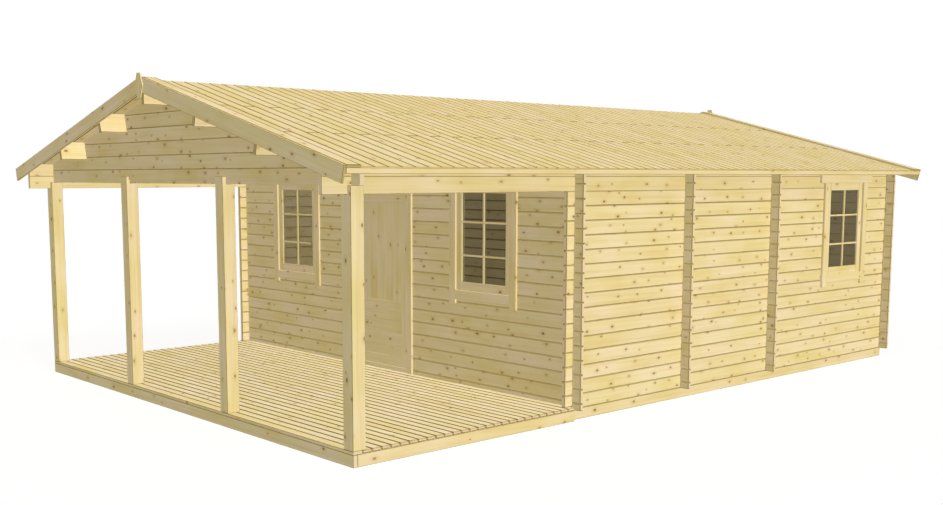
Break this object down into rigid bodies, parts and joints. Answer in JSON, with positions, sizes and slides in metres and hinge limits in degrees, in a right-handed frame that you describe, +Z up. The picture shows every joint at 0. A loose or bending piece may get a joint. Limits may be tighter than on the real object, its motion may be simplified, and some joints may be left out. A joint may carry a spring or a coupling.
{
  "type": "prefabricated wooden bungalow",
  "caption": "Log-built wooden bungalow with a deep veranda under the same low gable roof, boarded roof and deck, barred windows and a hinged panelled door.",
  "frame": {"origin": "on the ground under the middle of the roof", "axes": "+Z up, -Y out of the veranda, X across the gable with the ridge over X = 0"},
  "size_m": [6.339, 8.874, 3.2163],
  "materials": {
    "log_pine": "planed pine logs, unpainted",
    "board_pine": "planed pine boards, unpainted",
    "joinery_pine": "smooth pine joinery, unpainted",
    "window_glass": "clear glass, dark room behind",
    "hinge_steel": "zinc plated"
  },
  "bodies": {
    "cabin": {"house_side_beams": "log_pine", "house_joists": "log_pine", "porch_front_beam": "log_pine", "porch_side_beams": "log_pine", "porch_joists": "log_pine", "porch_deck": "board_pine", "house_floor": "board_pine", "left_wall": "log_pine", "right_wall": "log_pine", "left_eave_plate": "log_pine", "right_eave_plate": "log_pine", "front_wall_left": "log_pine", "front_wall_right": "log_pine", "front_wall_over_door": "log_pine", "back_wall": "log_pine", "first_partition": "log_pine", "second_partition": "log_pine", "partition_heads": "log_pine", "porch_gable": "log_pine", "front_gable": "log_pine", "back_gable": "log_pine", "corner_posts": "log_pine", "middle_posts": "log_pine", "ridge_purlin": "log_pine", "upper_purlins": "log_pine", "lower_purlins": "log_pine", "left_roof": "board_pine", "right_roof": "board_pine", "left_verge_boards": "board_pine", "right_verge_boards": "board_pine", "eave_battens": "board_pine", "front_left_barge": "board_pine", "front_right_barge": "board_pine", "back_left_barge": "board_pine", "back_right_barge": "board_pine", "apex_plates": "board_pine", "front_left_window": "joinery_pine", "front_right_window": "joinery_pine", "left_window": "joinery_pine", "right_window": "joinery_pine", "window_glass": "window_glass", "door_frame": "joinery_pine", "hinge_pins": "hinge_steel"},
    "door": {"door_leaf": "joinery_pine", "hinge_straps": "hinge_steel"}
  },
  "joints": [
    {"name": "door_swing", "type": "hinge", "parent": "cabin", "child": "door", "pos_m": [-0.441, -1.617, 1.1], "axis": [0, 0, -1], "range_deg": [0, 105]}
  ]
}
